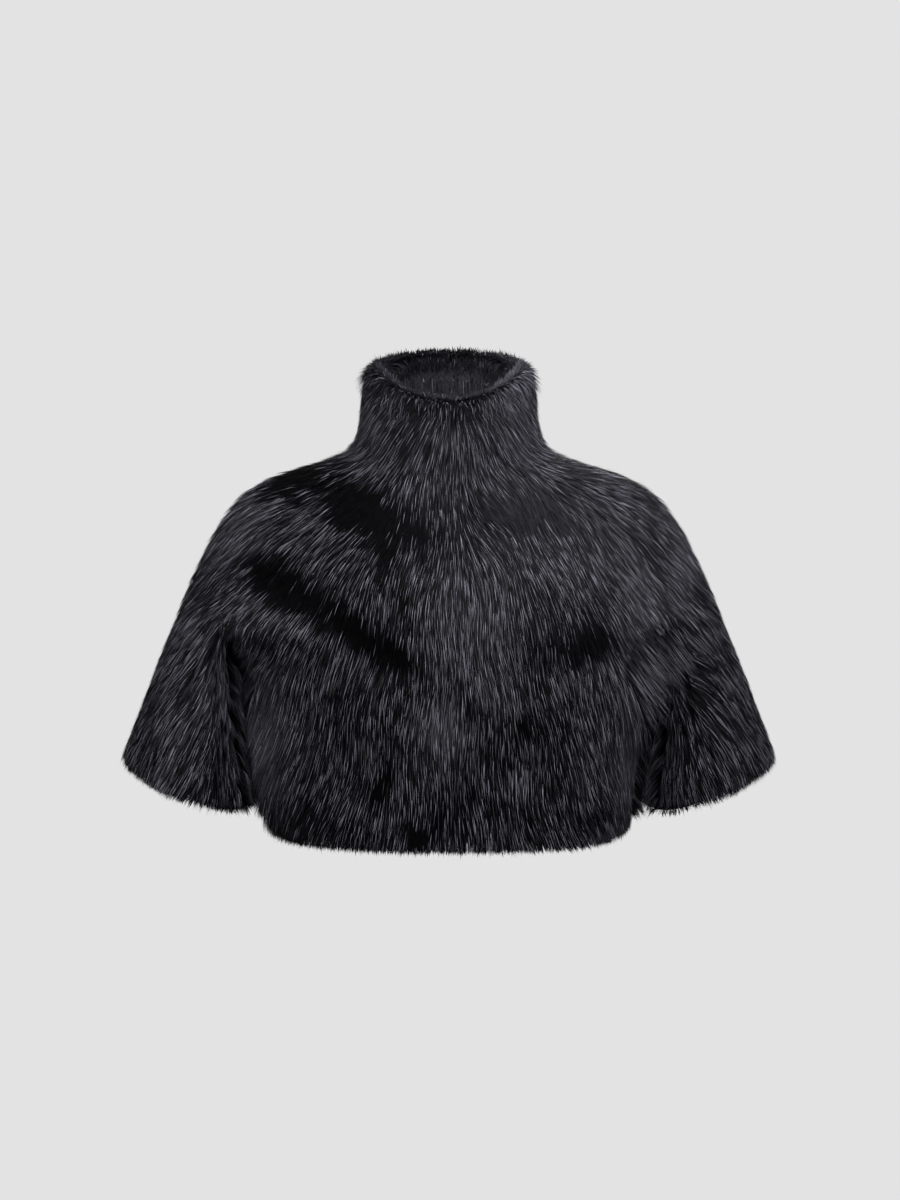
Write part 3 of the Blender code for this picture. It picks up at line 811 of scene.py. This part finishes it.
lean = np.where(turn > 0, OUTER_LEAN, INNER_LEAN)
lean += LAID_LEAN * outer * random.uniform(*LAID_SPREAD, (count, 1))
lean *= np.abs(turn)
middle = roots + radial * height * MIDDLE_HEIGHT + combed_off * lean * MIDDLE_LEAN
tips = roots + radial * height + combed_off * lean + random.normal(0, TIP_STRAY, (count, 3))
way = unit(tips - roots)
normals = unit(along_skin(outward * np.sign(turn), way))
normals += TOP_FACES_TIP * way * (1 - outer) - INSIDE_FACES_UP * DOWN * (turn < 0) * front
normals = unit(normals)
base = RIM_TONE - BACK_DARKER * back + KEY_SIDE_LIGHTER * key_side + SIDES_LIGHTER * sides
base *= 1 - OUTER_DARKER * outer * (1 - key_side)
base *= 1 - inner * (INNER_PAINTED_SHADE + INNER_KEY_PAINTED_SHADE * key_side)
light = random.random(count) < RIM_LIGHT_SHARE + OUTER_LIGHT_SHARE * outer[:, 0]
light_tones = random.uniform(*RIM_LIGHT_TONES, count)
dark_tones = base[:, 0] * random.uniform(*RIM_TONE_SPREAD, count)
tones = np.where(light, light_tones, dark_tones)
spines, facing = np.stack((roots, middle, tips), 1), np.stack((normals,) * 3, 1)
hair_mesh("fur_collar_rim", spines, facing, RIM, tones, random)

# Cut
# A cut holds a pelt's flat width and length, its area, its slot, and what it hangs from. The record is
# defined here, but no pelt is given one. On the jacket the fronts and the back hang from the shoulder
# seams, the sleeves from the armholes, and the collar stands on the neck seam.
Cut = namedtuple("Cut", "width length area slot hangs_from")

# Studio
# The jacket hangs filled out before pale grey paper that shows no shadow. A large softbox, the key
# light, stands high on the camera's right and a weaker one on its left. One hangs above, and one
# behind edges the fur.
PAPER_GREY = (0.768, 0.768, 0.768, 1)
FLOOR_SIZE = 40
FLOOR_Z = -1.4
pale_paper = bpy.data.materials.new("pale_paper")
pale_paper.use_nodes = True
paper = pale_paper.node_tree.nodes["Principled BSDF"]
paper.inputs["Base Color"].default_value = (0.0, 0.0, 0.0, 1)
paper.inputs["Emission Color"].default_value = PAPER_GREY
paper.inputs["Emission Strength"].default_value = 1.0
paper.inputs["Specular IOR Level"].default_value = 0
paper_sheet = bmesh.new()
bmesh.ops.create_grid(paper_sheet, x_segments=1, y_segments=1, size=FLOOR_SIZE)
bmesh.ops.translate(paper_sheet, verts=paper_sheet.verts, vec=(0, 0, FLOOR_Z))
floor_data = bpy.data.meshes.new("floor")
paper_sheet.to_mesh(floor_data)
paper_sheet.free()
floor_data.materials.append(pale_paper)
floor = bpy.data.objects.new("floor", floor_data)
floor.visible_glossy = False
floor.visible_diffuse = False
bpy.context.scene.collection.objects.link(floor)

ROOM_LIGHT = 0.12
studio = bpy.data.worlds.new("studio")
bpy.context.scene.world = studio
studio.use_nodes = True
nodes, links = studio.node_tree.nodes, studio.node_tree.links
room_glow = nodes["Background"]
room_glow.inputs["Color"].default_value = PAPER_GREY
room_glow.inputs["Strength"].default_value = ROOM_LIGHT
backdrop = nodes.new("ShaderNodeBackground")
backdrop.inputs["Color"].default_value = PAPER_GREY
path = nodes.new("ShaderNodeLightPath")
mix = nodes.new("ShaderNodeMixShader")
links.new(path.outputs["Is Camera Ray"], mix.inputs[0])
links.new(room_glow.outputs[0], mix.inputs[1])
links.new(backdrop.outputs[0], mix.inputs[2])
links.new(mix.outputs[0], nodes["World Output"].inputs["Surface"])
bpy.context.scene.view_settings.view_transform = "Standard"

CHEST = Vector((0, 0, -0.15))


def softbox(name, place, width, height, power):
    """A rectangular light that faces the chest."""
    light = bpy.data.lights.new(name, "AREA")
    light.shape = "RECTANGLE"
    light.size, light.size_y = width, height
    light.energy = power
    lamp = bpy.data.objects.new(name, light)
    lamp.location = place
    lamp.rotation_euler = (CHEST - Vector(place)).to_track_quat("-Z", "Y").to_euler()
    bpy.context.scene.collection.objects.link(lamp)


softbox("key", (0.9, -2.0, 1.4), width=1.4, height=1.2, power=60)
softbox("fill", (-1.3, -1.7, 0.6), width=1.2, height=1.2, power=23)
softbox("top", (0.2, 0.3, 2.0), width=1.6, height=1.2, power=35)
softbox("back", (0.4, 2.4, 0.7), width=1.4, height=1.4, power=45)

CAMERA_DISTANCE = 3.0
CAMERA_ELEVATION = radians(5)
CAMERA_AIM = Vector((0.001, 0, -0.152))
camera = bpy.data.cameras.new("camera")
camera.lens = 90
camera.sensor_width = 36
eye = bpy.data.objects.new("camera", camera)
towards_eye = Vector((0, -cos(CAMERA_ELEVATION), sin(CAMERA_ELEVATION)))
eye.location = CAMERA_AIM + CAMERA_DISTANCE * towards_eye
eye.rotation_euler = (-towards_eye).to_track_quat("-Z", "Y").to_euler()
bpy.context.scene.collection.objects.link(eye)
bpy.context.scene.camera = eye
